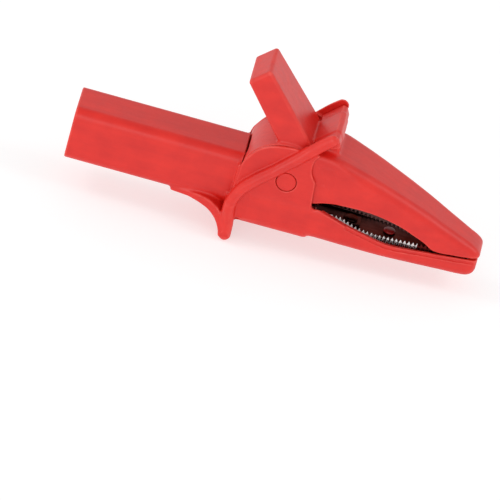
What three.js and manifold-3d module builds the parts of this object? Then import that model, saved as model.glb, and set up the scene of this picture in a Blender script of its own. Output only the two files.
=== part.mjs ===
// Insulated safety alligator clip. Lengths are millimetres. The clip is laid out about its
// pivot, with X towards the nose, Y across and Z towards the lever, then set down on its base.
import * as THREE from "three";
import { mergeVertices } from "three/addons/utils/BufferGeometryUtils.js";
import Module from "manifold-3d";

const wasm = await Module();
wasm.setup();

// Barrel, with the socket for a shrouded 4 mm plug
const BARREL_REAR = -43.9;
const BARREL_HALF = 5.65;
const BARREL_CORNER = 2;
const BARREL_AXIS_Z = -3.9;
const BORE_R = 4.2;
const BORE_END = -17.2;

// Fixed body and its cheeks
const CHEEK_HALF = 7.3;
const CHEEK_INNER = 6.6;
const BELLY_Z = -11.7;
const BELLY_CORNER = 2.5;
const FLOOR_Z = -9.5;
const HUB_ROOM_R = 9.75;
const HUB_FLOOR_Z = -6.5;

// Finger guard collar and rest
const COLLAR_HALF = 9.3;
const COLLAR_BEAD = 2.2;
const EAR_HALF = 8.5;
const EAR_INNER = 7.4;
const EAR_START_R = 9.3;
const FLANGE_REAR = -10.1;
const FLANGE_FRONT = -8;
const FLANGE_TIP_Z = -15.9;
const FLANGE_CORNER = 2.6;
const FLANGE_ARCH = 0.15;

// Moving shell
const HUB_HALF = 6.45;
const HUB_R = 9.45;
const HUB_CROWN = [-1, -1.2, 8.95];
const HUB_REAR = -9.12;
const HUB_BOSS_R = 5.2;
const GUARD_HALF = 7.1;
const GUARD_STEM = 5.6;
const ROOT_R = 9.6;
const FLARE_R = 14;
const LEVER_ROOT = [-0.65, 8.45];
const LEVER_END = [-10.65, 20.4];
const LEVER_HALF = 6.05;

// Pivot, its caps and the spring
const PIN_R = 1.2;
const PIN_HALF = 6.95;
const PIN_RUN = 0.08;
const CAP_R = 1.9;
const CAP_HOLE_R = 2.1;
const CAP_START = 6.75;
const SPRING_ROOM_R = 4.7;
const SPRING_ROOM_HALF = 3.5;
const SLEEVE_R = 2.3;
const SLEEVE_HALF = 2.7;
const WASHER_R = 3.2;
const WASHER_START = 2.85;
const WASHER_END = 3.35;
const COIL_R = 3.15;
const WIRE_R = 0.5;
const COIL_PITCH = 1.08;
const COIL_TURNS = 4.25;
const COIL_START = -COIL_TURNS * COIL_PITCH / 2;
const WIRE_SIDES = 8;

// Metal jaws
const SHEET = 0.6;
const WEB_LOW = -9.2;
const WEB = 0.5;
const JAW_GAP = 0.3;
const CHANNEL_START = 7.6;
const CHANNEL_END = 38.2;
const TEETH_START = 11;
const TOOTH_PITCH = 0.85;
const TOOTH_HEIGHT = 0.55;
const PEG_X = 22.4;
const RIVET_X = 14.3;

// Contact inside the barrel
const CONTACT_REAR = -37.9;
const CONTACT_FRONT = -19.6;
const CONTACT_R = 2.6;
const CONTACT_BORE = 2;
const CONTACT_FLANGE = 3.4;
const TONGUE_HALF = 1.7;
const TONGUE = 0.5;

const ARC_STEPS = 4;
const ROUND = 40;

// Outlines in the plane of X and Z
const CHEEK_FRONT = [
  [5.3, 7.65], [4.4, 6.35], [4.36, 3.8], [4.9, 2.45], [5.57, 1.5], [5.76, 0.18], [5.85, -1.05],
  [6.05, -3.67],
];
const CHEEK_TOP = [[-9.2, 2.3], [-7.3, 5.15], [-5.45, 6.55], [-3.43, 7.3], [-1, 7.7], [2.5, 7.8]];
const LOWER_EDGE = [
  [6.05, -3.9], [6.7, -4.4], [7.7, -4.25], [9.8, -4.9], [13.6, -6.3], [17.5, -7.4], [22.6, -8.55],
  [30, -8.3], [42, -7.6],
];
const UPPER_EDGE = [
  [6.05, -3.67], [9, -2.75], [12, -2.2], [15.4, -2.1], [20, -2.7], [24.3, -3.9], [30.8, -6.8],
  [33.9, -7.65], [42, -7.2],
];
const UPPER_TOP = [
  [3, 7.3], [6, 7.2], [9.2, 6.85], [13, 5.65], [17, 4.3], [20.5, 3], [24.5, 1.45], [29, -0.5],
  [33, -2.4], [37.6, -4.6], [39.2, -5.4], [40.2, -6.1], [40.7, -6.7], [40.85, -7.2],
];
const LOWER_BOTTOM = [
  [-8, BELLY_Z], [5, BELLY_Z], [5.9, BELLY_Z - 0.1], [6.6, BELLY_Z], [7.1, BELLY_Z + 0.25],
  [13.7, BELLY_Z + 0.1], [21.5, BELLY_Z - 0.2], [29, BELLY_Z - 0.05], [34, -11.4], [38, -11.15],
  [39.1, -10.85], [39.9, -10.3], [40.3, -9.7], [40.4, -9.1],
];
const LOWER_TEETH = [
  [TEETH_START, -5.9], [12.2, -5.95], [16, -7.4], [19.9, -7.9], [29.5, -7.55], [CHANNEL_END, -7.6],
];
const UPPER_TEETH = [[TEETH_START, -3.5], [23.2, -4.4], [28, -6.3], [30.6, -7], [CHANNEL_END, -7.05]];
const COLLAR_LINE = [
  [-9.05, -12], [-9.6, -7.8], [-8.4, -4], [-5.96, -0.95], [-2.2, 2.75], [1.45, 6.45], [5, 10.3],
  [6.9, 12.1],
];
const REST_LOW = [
  [-21.8, -9.8], [-16.8, -9.55], [-14.8, -9.75], [-13, -10.3], [-11.4, -11.6], [-10.4, -13.6],
  [-9.9, -14.8],
];

const rad = THREE.MathUtils.degToRad;

// The value at x of a line through points
function along(points, x) {
  const last = points.length - 1;
  if (x <= points[0][0]) return points[0][1];
  if (x >= points[last][0]) return points[last][1];
  const k = points.findIndex((p) => p[0] >= x);
  const [a, b] = [points[k - 1], points[k]];
  return a[1] + ((b[1] - a[1]) * (x - a[0])) / (b[0] - a[0]);
}

const lowerHalf = (x) => 7.4 - 0.0931 * Math.max(x - 9, 0);
const upperHalf = (x) => 7.4 - 0.107 * Math.max(x - 9, 0);
const channelHalf = (x) => 4.5 - 0.0483 * (x - 9);
const lowerTrough = (x) => 6 - 0.0793 * (x - 9);
const upperTrough = (x) => channelHalf(x) + 0.4;
const collarReach = (x) => along([[-3, COLLAR_HALF], [3, EAR_HALF]], x);

// The inside of the upper jaw's top wall, or a line some distance below it
function ceiling(drop) {
  const wall = [[9, 1.8], [38, 1.2]];
  const inside = UPPER_TOP.filter(([x]) => x > 9.1 && x < 38);
  return inside.map(([x, z]) => [x, z - along(wall, x) - drop]);
}

const PEG_Z = along(ceiling(JAW_GAP + WEB + 0.1), PEG_X);
const ROOF_SLOPE = Math.atan(along(ceiling(0), PEG_X - 0.5) - along(ceiling(0), PEG_X + 0.5));

// How much the sides draw in over the last stretch before a rounded end
function drawIn(x, end) {
  const near = Math.max(x - end + 2, 0) / 2;
  return 1.4 * (1 - Math.sqrt(Math.max(1 - near * near, 0)));
}

function solid(geometry) {
  const bare = geometry.clone();
  bare.deleteAttribute("normal");
  bare.deleteAttribute("uv");
  const merged = mergeVertices(bare, 1e-4);
  const mesh = new wasm.Mesh({
    numProp: 3,
    vertProperties: new Float32Array(merged.attributes.position.array),
    triVerts: new Uint32Array(merged.index.array),
  });
  return new wasm.Manifold(mesh);
}

function shapeOf(points) {
  return new THREE.Shape(points.map(([x, z]) => new THREE.Vector2(x, z)));
}

// A flat outline in X and Z, carried across from one Y to another, with its edges rounded over
function prism(points, yLow, yHigh, round = 0) {
  const geometry = new THREE.ExtrudeGeometry(shapeOf(points), {
    depth: yHigh - yLow - 2 * round,
    bevelEnabled: round > 0,
    bevelThickness: round,
    bevelSize: round,
    bevelOffset: -round,
    bevelSegments: 3,
    steps: 1,
  });
  geometry.rotateX(Math.PI / 2);
  geometry.translate(0, yHigh - round, 0);
  return solid(geometry);
}

// An outline as wide as half(x) each way
function tapered(points, half) {
  const geometry = new THREE.ExtrudeGeometry(shapeOf(points), { depth: 2, bevelEnabled: false });
  geometry.rotateX(Math.PI / 2);
  geometry.translate(0, 1, 0);
  const at = geometry.attributes.position;
  for (let k = 0; k < at.count; k++) {
    at.setY(k, at.getY(k) * half(at.getX(k)));
  }
  return solid(geometry);
}

function box(xLow, xHigh, yLow, yHigh, zLow, zHigh) {
  const geometry = new THREE.BoxGeometry(xHigh - xLow, yHigh - yLow, zHigh - zLow);
  geometry.translate((xLow + xHigh) / 2, (yLow + yHigh) / 2, (zLow + zHigh) / 2);
  return solid(geometry);
}

// A turned solid on an axis along Y; its profile is radius and Y
function turned(profile) {
  const points = profile.map(([r, y]) => new THREE.Vector2(r, y));
  return solid(new THREE.LatheGeometry(points, ROUND));
}

// A turned solid along X on the barrel's axis; its profile is radius and X
function turnedAlongX(profile) {
  const points = profile.map(([r, x]) => new THREE.Vector2(r, x));
  const geometry = new THREE.LatheGeometry(points, ROUND);
  geometry.rotateZ(-Math.PI / 2);
  geometry.translate(0, 0, BARREL_AXIS_Z);
  return solid(geometry);
}

// A turned solid standing along Z at (x, 0, z), leaning towards the nose
function turnedAlongZ(profile, x, z, lean = 0) {
  const points = profile.map(([r, h]) => new THREE.Vector2(r, h));
  const geometry = new THREE.LatheGeometry(points, ROUND);
  geometry.rotateX(Math.PI / 2);
  geometry.rotateY(lean);
  geometry.translate(x, 0, z);
  return solid(geometry);
}

const rod = (r, low, high) => [[0, low], [r, low], [r, high], [0, high]];
const ring = (inner, outer, low, high) => [
  [inner, low], [outer, low], [outer, high], [inner, high], [inner, low],
];

function roundedBox(half, low, high, rLow, rHigh) {
  const corners = [
    [half - rLow, low + rLow, rLow, -90],
    [half - rHigh, high - rHigh, rHigh, 0],
    [rHigh - half, high - rHigh, rHigh, 90],
    [rLow - half, low + rLow, rLow, 180],
  ];
  const points = [];
  for (const [y, z, r, from] of corners) {
    for (let k = 0; k <= ARC_STEPS; k++) {
      const a = rad(from + (90 * k) / ARC_STEPS);
      points.push([y + r * Math.cos(a), z + r * Math.sin(a)]);
    }
  }
  return points;
}

// A solid through loops of points, which turn left round the way they run and are seen whole from
// the first point
function skin(rows) {
  const n = rows[0].length;
  const index = [];
  for (let i = 0; i + 1 < rows.length; i++) {
    for (let j = 0; j < n; j++) {
      const [a, b] = [i * n + j, i * n + ((j + 1) % n)];
      index.push(a, b, a + n, b, b + n, a + n);
    }
  }
  const last = (rows.length - 1) * n;
  for (let j = 1; j + 1 < n; j++) {
    index.push(0, j + 1, j, last, last + j, last + j + 1);
  }
  const geometry = new THREE.BufferGeometry();
  geometry.setAttribute("position", new THREE.Float32BufferAttribute(rows.flat(2), 3));
  geometry.setIndex(index);
  return solid(geometry);
}

// A solid through sections in Y and Z, one at each x
function loft(xs, section) {
  return skin(xs.map((x) => section(x).map(([y, z]) => [x, y, z])));
}

// A rounded band along a line in X and Z, to one side, from a distance out to reach(x)
function bead(line, width, side, low, reach) {
  const rows = line.map(([x, z], k) => {
    const high = reach(x);
    const section = roundedBox((high - low) / 2, -width / 2, width / 2, 0.55, 0.55);
    const [before, after] = [line[Math.max(k - 1, 0)], line[Math.min(k + 1, line.length - 1)]];
    const way = new THREE.Vector2(after[0] - before[0], after[1] - before[1]).normalize();
    const middle = (side * (low + high)) / 2;
    return section.map(([y, s]) => [x - way.y * s, middle + y, z + way.x * s]);
  });
  return skin(rows);
}

function disc(x, z, r, from = 0, to = 360) {
  const points = [];
  const steps = Math.ceil((ROUND * (to - from)) / 360);
  for (let k = 0; k < steps + (to - from < 360); k++) {
    const a = rad(from + ((to - from) * k) / steps);
    points.push([x + r * Math.cos(a), z + r * Math.sin(a)]);
  }
  return points;
}

function bothSides(make) {
  return make(1).add(make(-1));
}

// A turned profile for one side or the other of the middle plane
const sided = (profile, side) => (side > 0 ? profile : profile.map(([r, y]) => [r, -y]).reverse());

// The Y span of something between two distances to one side
const span = (side, low, high) => (side > 0 ? [low, high] : [-high, -low]);

function collar() {
  const smooth = new THREE.SplineCurve(COLLAR_LINE.map(([x, z]) => new THREE.Vector2(x, z)));
  const line = smooth.getPoints(20).map((p) => [p.x, p.y]);
  const inside = prism(disc(0, 0, EAR_START_R), -12, 12).add(box(-20, -2, -12, 12, -20, 4));
  const beads = bothSides((side) =>
    bead(line, COLLAR_BEAD, side, CHEEK_INNER + 0.3, collarReach)
      .intersect(inside)
      .add(bead(line, COLLAR_BEAD, side, EAR_INNER, collarReach)));
  const flange = loft([FLANGE_REAR, FLANGE_REAR + 0.5, FLANGE_FRONT - 0.3, FLANGE_FRONT], (x) => {
    const edge = x === FLANGE_REAR || x === FLANGE_FRONT ? 0.4 : 0;
    const tip = FLANGE_TIP_Z + edge;
    return [[0, tip + FLANGE_ARCH], ...roundedBox(COLLAR_HALF - edge, tip, -7, FLANGE_CORNER, 0.4)];
  });
  return beads.add(flange);
}

function fingerRest() {
  const xs = REST_LOW.map((p) => p[0]);
  const half = (x) => along([[-21.8, 5.4], [-18, 5.9], [-14, 7.4], [-11, 8.7], [-9, 9.1]], x);
  const sheet = loft(xs, (x) => {
    const low = along(REST_LOW, x);
    const thick = along([[-21.8, 1], [-16.8, 1.3], [-12.4, 1.9], [-9.4, 2.6]], x);
    return roundedBox(half(x), low, low + thick, 0.5, 0.3);
  });
  const web = prism([...REST_LOW.map(([x, z]) => [x, z + 0.3]), [-9, -8], [-21.8, -8]], -3.6, 3.6);
  return sheet.add(web);
}

function fixedShell() {
  const xs = LOWER_BOTTOM.map((p) => p[0]);
  const barrel = loft([BARREL_REAR, -5], () =>
    roundedBox(
      BARREL_HALF, BARREL_AXIS_Z - BARREL_HALF, BARREL_AXIS_Z + BARREL_HALF, BARREL_CORNER,
      BARREL_CORNER,
    ));
  const belly = loft(xs, (x) => {
    const round = along([[7, BELLY_CORNER], [38, 1.7], [40.4, 1.2]], x);
    const half = lowerHalf(x) - drawIn(x, 40.4);
    return roundedBox(half, along(LOWER_BOTTOM, x), -3.4, round, 0.1);
  });
  const outline = [[-9.2, -8], ...CHEEK_TOP, ...CHEEK_FRONT, [6.05, -8]];
  const cheeks = prism(outline, -CHEEK_HALF, CHEEK_HALF, 0.35);
  const mouth = [...LOWER_EDGE, [42, 20], [9, 20], [9, 5], [6.3, 5], [6.3, -3.67]];
  const room = prism(disc(0, 0, HUB_ROOM_R), -CHEEK_INNER, CHEEK_INNER)
    .subtract(box(-12, 12, -12, 12, -12, HUB_FLOOR_Z));
  const trough = tapered(
    [[7.2, FLOOR_Z], [38.8, FLOOR_Z], [38.8, 0], [7.2, 0]], lowerTrough,
  );
  return barrel.add(belly).add(cheeks).add(fingerRest())
    .subtract(prism(mouth, -12, 12))
    .add(collar())
    .subtract(room)
    .subtract(trough)
    .subtract(box(-19.2, 8, -TONGUE_HALF - JAW_GAP, TONGUE_HALF + JAW_GAP, FLOOR_Z, -6))
    .subtract(turnedAlongX(rod(BORE_R, BARREL_REAR - 1, BORE_END)))
    .subtract(turned(rod(CAP_HOLE_R, -12, 12)))
    .subtract(turnedAlongZ(rod(1.3, -0.8, 1), PEG_X, FLOOR_Z));
}

function lever() {
  const [dx, dz] = [LEVER_END[0] - LEVER_ROOT[0], LEVER_END[1] - LEVER_ROOT[1]];
  const length = Math.hypot(dx, dz);
  const stations = [-6, 0, length * 0.5, length - 0.9, length - 0.3, length];
  const blade = loft(stations, (s) => {
    const edge = Math.max(s - (length - 0.9), 0) / 0.9;
    const half = along([[0, LEVER_HALF], [length, 5.35]], s) - 0.6 * edge * edge;
    const thick = along([[0, 2.9], [length, 2.55]], s) - 0.45 * edge * edge;
    return roundedBox(half, -thick, thick, 0.9, 0.9);
  });
  const turn = (Math.atan2(dz, dx) * 180) / Math.PI;
  return blade.rotate([0, -turn, 0]).translate([LEVER_ROOT[0], 0, LEVER_ROOT[1]]);
}

function movingShell() {
  const jaw = loft(UPPER_TOP.map((p) => p[0]), (x) => {
    const top = along(UPPER_TOP, x);
    const round = along([[9, 2.6], [38, 2.1], [40.9, 1.3]], x);
    return roundedBox(upperHalf(x) - drawIn(x, 40.85), -9, top, 0.1, round);
  });
  const below = [...UPPER_EDGE, [42, -14], [2.9, -14], [2.9, -3.9]];
  const cone = [[0, HUB_HALF], [ROOT_R, HUB_HALF], [FLARE_R, 7.1], [FLARE_R, 10], [0, 10]];
  const flare = bothSides((side) => turned(sided(cone, side)));
  const fin = [
    [1.3, 6], [1.4, 7.2], [6.3, 12], [6.9, 12.45], [7.6, 12.4], [8.2, 11.9], [8.5, 11.2],
    [8.6, 10.4], [8.65, 6], [6, 4],
  ];
  const under = prism([[0, 0], [14, 0], [14, 10.2], [7.6, 9.6], [2.4, 9.6], [0, 8]], -12, 12);
  const stem = prism(fin, -GUARD_STEM, GUARD_STEM, 0.4);
  const guard = prism(fin, -GUARD_HALF, GUARD_HALF, 0.4).subtract(under).add(stem);
  const crown = prism(disc(...HUB_CROWN), -HUB_HALF, HUB_HALF, 0.2)
    .intersect(prism(disc(0, 0, HUB_R), -10, 10))
    .subtract(box(-12, 12, -12, 12, -14, 1))
    .subtract(box(-12, HUB_REAR, -12, 12, -14, 14));
  const neck = prism([[0, -4], [6.6, -3.4], [9, -2], [9, 5], [0, 5]], -HUB_HALF, HUB_HALF);
  const boss = prism(disc(0, 0, HUB_BOSS_R), -HUB_HALF, HUB_HALF);
  const trough = tapered(
    [[7, 4.9], ...ceiling(0), [38.6, -6.3], [38.6, -14], [7, -14]], upperTrough,
  );
  const spring = turned(rod(SPRING_ROOM_R, -SPRING_ROOM_HALF, SPRING_ROOM_HALF))
    .add(prism([[0, 0], [-12, 3.4], [-12, -12], [3, -12]], -SPRING_ROOM_HALF, SPRING_ROOM_HALF));
  return jaw.subtract(flare).add(guard).add(crown).add(neck).add(boss).add(lever())
    .subtract(prism(below, -12, 12))
    .subtract(trough)
    .subtract(spring)
    .subtract(turned(rod(PIN_R + PIN_RUN, -12, 12)))
    .subtract(turnedAlongZ(rod(1.3, 0, 1.7), PEG_X, PEG_Z, ROOF_SLOPE));
}

// A saw-toothed line on a crest, from the nose back
function sawTeeth(crest, up) {
  const points = [];
  const count = Math.floor((CHANNEL_END - TEETH_START) / TOOTH_PITCH);
  for (let k = count; k > 0; k--) {
    const x = TEETH_START + k * TOOTH_PITCH;
    points.push([x, along(crest, x) - up * TOOTH_HEIGHT]);
    points.push([x - TOOTH_PITCH / 2, along(crest, x - TOOTH_PITCH / 2)]);
  }
  points.push([TEETH_START, along(crest, TEETH_START) - up * TOOTH_HEIGHT]);
  return points;
}

function lowerChannel() {
  const back = [[CHANNEL_START, -7], [CHANNEL_START, WEB_LOW], [CHANNEL_END, WEB_LOW]];
  const side = [
    ...sawTeeth(LOWER_TEETH, 1), [TEETH_START - 0.3, -6], [9.4, -6], [8.6, -6.6], ...back,
  ];
  const inner = [[0, WEB_LOW + WEB], [50, WEB_LOW + WEB], [50, 0], [0, 0]];
  return tapered(side, channelHalf)
    .subtract(tapered(inner, (x) => channelHalf(x) - SHEET))
    .subtract(turnedAlongZ(rod(1.15, -2, 2), PEG_X, WEB_LOW))
    .subtract(turnedAlongZ(rod(1, -2, 2), RIVET_X, WEB_LOW));
}

function upperChannel() {
  const roof = ceiling(JAW_GAP);
  const top = [[CHANNEL_START, 4.6], ...roof, [CHANNEL_END, along(roof, CHANNEL_END) - 0.2]];
  const side = [...sawTeeth(UPPER_TEETH, -1), [CHANNEL_START, -1.6], ...top];
  const inner = [...top.map(([x, z]) => [x, z - WEB]), [50, -7.4], [50, -20], [0, -20], [0, 4.6]];
  return tapered(side, channelHalf)
    .subtract(tapered(inner, (x) => channelHalf(x) - SHEET))
    .subtract(turnedAlongZ(rod(1.15, -3, 3), PEG_X, PEG_Z, ROOF_SLOPE));
}

// The profile of a peg whose head sits at height 0, with its shank below
const peg = (r, shank, headR, head) => [
  [0, -shank], [r, -shank], [r, 0], [headR, 0], [headR, head - 0.3], [headR - 0.3, head],
  [0, head],
];

function torsionSpring() {
  const points = [-9, -5].map((x) => new THREE.Vector3(x, COIL_START, -COIL_R));
  const steps = Math.round(COIL_TURNS * 12);
  for (let k = 0; k <= steps; k++) {
    const turn = k / 12;
    const a = rad(-90 + 360 * turn);
    const y = COIL_START + COIL_PITCH * turn;
    points.push(new THREE.Vector3(COIL_R * Math.cos(a), y, COIL_R * Math.sin(a)));
  }
  const last = points[points.length - 1];
  points.push(new THREE.Vector3(last.x - 0.35, last.y, last.z + 2.2));
  const wire = [];
  for (let k = 0; k < WIRE_SIDES; k++) {
    const a = rad((360 * k) / WIRE_SIDES);
    wire.push([WIRE_R * Math.cos(a), WIRE_R * Math.sin(a)]);
  }
  const geometry = new THREE.ExtrudeGeometry(shapeOf(wire), {
    steps: 96,
    extrudePath: new THREE.CatmullRomCurve3(points, false, "centripetal"),
  });
  return solid(geometry);
}

function contactTongue() {
  const low = WEB_LOW + WEB + 0.1;
  const strip = [
    [-18.9, -1.4], [-18.9, -8.3], [6.2, -8.3], [7.6, low], [16.4, low], [16.4, low + TONGUE],
    [7.8, low + TONGUE], [6.4, -8.3 + TONGUE], [-18.4, -8.3 + TONGUE], [-18.4, -1.4],
  ];
  return prism(strip, -TONGUE_HALF, TONGUE_HALF)
    .subtract(turnedAlongX(rod(0.95, -20, -18)))
    .subtract(turnedAlongZ(rod(1, -2, 2), RIVET_X, low));
}

const paint = (color, metalness, roughness) =>
  new THREE.MeshStandardMaterial({ color, metalness, roughness });
const group = new THREE.Group();
group.name = "alligator_clip";

const made = [];
function put(name, shape, material) {
  made.push([name, shape, material]);
}

const red = () => paint(0xd93a34, 0, 0.5);
const steel = () => paint(0xc4c6c8, 1, 0.3);
put("fixed_shell", fixedShell(), red());
put("moving_shell", movingShell(), red());
put("pivot_pin", turned(rod(PIN_R, -PIN_HALF, PIN_HALF)), steel());
const cap = [
  [0, PIN_HALF + 0.1], [PIN_R + PIN_RUN, PIN_HALF + 0.1], [PIN_R + PIN_RUN, CAP_START],
  [CAP_R, CAP_START], [CAP_R, CHEEK_HALF - 0.15], [CAP_R - 0.3, CHEEK_HALF], [0, CHEEK_HALF],
];
put("pin_cap_near", turned(sided(cap, -1)), red());
put("pin_cap_far", turned(sided(cap, 1)), red());
const collarRing = ring(PIN_R + PIN_RUN, SLEEVE_R, -SLEEVE_HALF, SLEEVE_HALF);
put("spring_sleeve", turned(collarRing), paint(0xe8e4da, 0, 0.6));
put("washer_left", turned(ring(PIN_R + PIN_RUN, WASHER_R, -WASHER_END, -WASHER_START)), steel());
put("washer_right", turned(ring(PIN_R + PIN_RUN, WASHER_R, WASHER_START, WASHER_END)), steel());
put("torsion_spring", torsionSpring(), steel());
put("lower_jaw_channel", lowerChannel(), steel());
put("upper_jaw_channel", upperChannel(), steel());
const webTop = WEB_LOW + WEB + 0.1;
put("lower_peg", turnedAlongZ(peg(1, 1.4, 1.6, 0.75), PEG_X, webTop), red());
const hung = sided(peg(1, 1.5, 1.6, 0.75), -1);
put("upper_peg", turnedAlongZ(hung, PEG_X, PEG_Z, ROOF_SLOPE), red());
const contact = [
  [CONTACT_BORE, CONTACT_REAR], [CONTACT_R, CONTACT_REAR], [CONTACT_R, CONTACT_FRONT - 0.5],
  [CONTACT_FLANGE, CONTACT_FRONT - 0.5], [CONTACT_FLANGE, CONTACT_FRONT], [0.95, CONTACT_FRONT],
  [0.95, CONTACT_FRONT - 0.6], [CONTACT_BORE, CONTACT_FRONT - 0.6], [CONTACT_BORE, CONTACT_REAR],
];
put("contact_sleeve", turnedAlongX(contact), paint(0xd6c58a, 1, 0.3));
const bush = ring(CONTACT_R + 0.1, BORE_R - 0.1, CONTACT_FRONT - 5, CONTACT_FRONT - 0.7);
put("contact_bush", turnedAlongX(bush), paint(0x2a2a2c, 0, 0.6));
put("contact_tongue", contactTongue(), steel());
const rivet = [
  [0, CONTACT_FRONT - 1.2], [1.6, CONTACT_FRONT - 1.2], [1.6, CONTACT_FRONT - 0.7],
  [0.85, CONTACT_FRONT - 0.7], [0.85, -18.3], [1.5, -18.3], [1.2, -17.7], [0, -17.7],
];
put("sleeve_rivet", turnedAlongX(rivet), steel());
const rivetShank = TONGUE + WEB + 0.35;
put("tongue_rivet", turnedAlongZ(peg(0.9, rivetShank, 1.5, 0.45), RIVET_X, webTop + 0.6), steel());

// Set the clip down on its base with the origin under its middle
const low = [Infinity, Infinity, Infinity];
const high = [-Infinity, -Infinity, -Infinity];
for (const [, shape] of made) {
  const bounds = shape.boundingBox();
  for (let k = 0; k < 3; k++) {
    low[k] = Math.min(low[k], bounds.min[k]);
    high[k] = Math.max(high[k], bounds.max[k]);
  }
}
export const shift = [-(low[0] + high[0]) / 2, -(low[1] + high[1]) / 2, -low[2]];

for (const [name, shape, material] of made) {
  const part = shape.translate(shift).getMesh();
  const geometry = new THREE.BufferGeometry();
  geometry.setAttribute("position", new THREE.Float32BufferAttribute(part.vertProperties, 3));
  geometry.setIndex(new THREE.BufferAttribute(new Uint32Array(part.triVerts), 1));
  geometry.computeVertexNormals();
  const mesh = new THREE.Mesh(geometry, material);
  mesh.name = name;
  group.add(mesh);
}

export default group;
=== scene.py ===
"""An insulated safety alligator clip, dressed for a studio picture.

Lengths are millimetres about the pivot, with X towards the nose, Y across the clip and Z towards
the lever. The pieces are set into the frame about the CAD's pivot pin.
"""

import itertools
import math

import bpy
import numpy as np
from mathutils import Matrix, Vector


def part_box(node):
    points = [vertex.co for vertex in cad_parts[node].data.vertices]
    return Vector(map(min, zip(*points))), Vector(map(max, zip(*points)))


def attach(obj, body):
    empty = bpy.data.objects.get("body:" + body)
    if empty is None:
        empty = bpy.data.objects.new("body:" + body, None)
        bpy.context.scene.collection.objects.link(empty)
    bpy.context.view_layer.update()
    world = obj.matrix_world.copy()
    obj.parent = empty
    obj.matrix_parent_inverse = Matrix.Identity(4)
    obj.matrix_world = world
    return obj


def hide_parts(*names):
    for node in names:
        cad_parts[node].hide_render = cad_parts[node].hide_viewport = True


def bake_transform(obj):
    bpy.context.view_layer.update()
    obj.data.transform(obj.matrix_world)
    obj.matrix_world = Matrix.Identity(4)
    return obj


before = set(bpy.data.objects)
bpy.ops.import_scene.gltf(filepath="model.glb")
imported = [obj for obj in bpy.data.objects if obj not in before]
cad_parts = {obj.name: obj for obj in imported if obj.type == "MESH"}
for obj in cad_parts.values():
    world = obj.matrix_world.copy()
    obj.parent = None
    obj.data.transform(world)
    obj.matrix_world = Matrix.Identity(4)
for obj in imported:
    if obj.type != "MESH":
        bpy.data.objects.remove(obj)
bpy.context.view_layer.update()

MM = 0.001
pin_low, pin_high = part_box("pivot_pin")
PIVOT = (pin_low + pin_high) / 2

# Barrel
BARREL_REAR = -43.9
BARREL_HALF = 5.65
BARREL_CORNER = 2.0
BARREL_AXIS_Z = -3.9
BARREL_TOP = 2.15
BORE_R = 4.2
BORE_END = -17.2

# Fixed body
CHEEK_HALF = 7.3
CHEEK_INNER = 6.72
BELLY_Z = -11.7
FLOOR_Z = -9.5
HUB_ROOM_R = 9.5
HUB_FLOOR_Z = -6.5
COLLAR_HALF = 9.3
ROPE_R = 1.22
EAR_HALF = 8.5
EAR_INNER = 7.4
EAR_START_R = 9.3
FLANGE_REAR = -10.1
FLANGE_FRONT = -8.0
FLANGE_TIP_Z = -15.5
FLANGE_CORNER = 2.6
CHEEK_REAR = -9.6
BACK_WALL_HALF = 7.0
REST_WEB_HALF = 3.6
MOUTH_REAR = 6.3
LIP_DROP = 0.65
LIP_INSET = 0.33
TROUGH_START = 7.2
TROUGH_END = 38.8
SLOT_START = -19.2
SLOT_END = 8
SLOT_TOP = -6
PEG_HOLE_R = 1.05

# Moving shell
HUB_HALF = 6.42
HUB_R = 9.42
HUB_CROWN = (-1.0, -1.2, 8.95)
HUB_REAR = -9.4
HUB_BOSS_R = 5.2
GUARD_HALF = 7.1
GUARD_STEM = 4.2
ROOT_R = 9.6
LEVER_ROOT = (-0.62, 8.48)
LEVER_END = (-10.62, 20.4)
LEVER_HALF = 6.05
LEVER_END_HALF = 5.4
LEVER_THICK = (2.97, 2.64)
FIN_CORNER = 0.55
HOLLOW_START = 7
HOLLOW_END = 38.6

# Pivot and spring
PIN_R = 1.2
PIN_RUN = 0.08
PIN_HALF = 6.95
CAP_R = 1.98
CAP_HOLE_R = 2.1
CAP_START = 6.75
SPRING_ROOM_R = 4.7
SPRING_ROOM_HALF = 3.5
SLEEVE_R = 2.3
SLEEVE_HALF = 2.7
WASHER_R = 3.2
WASHER_START = 2.85
WASHER_END = 3.35
COIL_R = 3.15
WIRE_R = 0.5
COIL_PITCH = 1.08
COIL_TURNS = 4.25

# Metal jaws
SHEET = 0.6
WEB = 0.5
WEB_LOW = -9.2
JAW_GAP = 0.3
CHANNEL_START = 7.6
CHANNEL_END = 38.2
TEETH_START = 11.0
TOOTH_PITCH = 0.85
TOOTH_HEIGHT = 0.62
# Where along X the outer sides of the lower teeth are painted lit
PAINTED_LIGHT_START = 9.5
PAINTED_LIGHT_END = 28.4
PEG_X = 22.4
RIVET_X = 14.3

# Contact inside the barrel
CONTACT_REAR = -37.9
CONTACT_FRONT = -19.6
CONTACT_R = 2.6
CONTACT_BORE = 2.0
TONGUE_HALF = 1.7
TONGUE = 0.5

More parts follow.
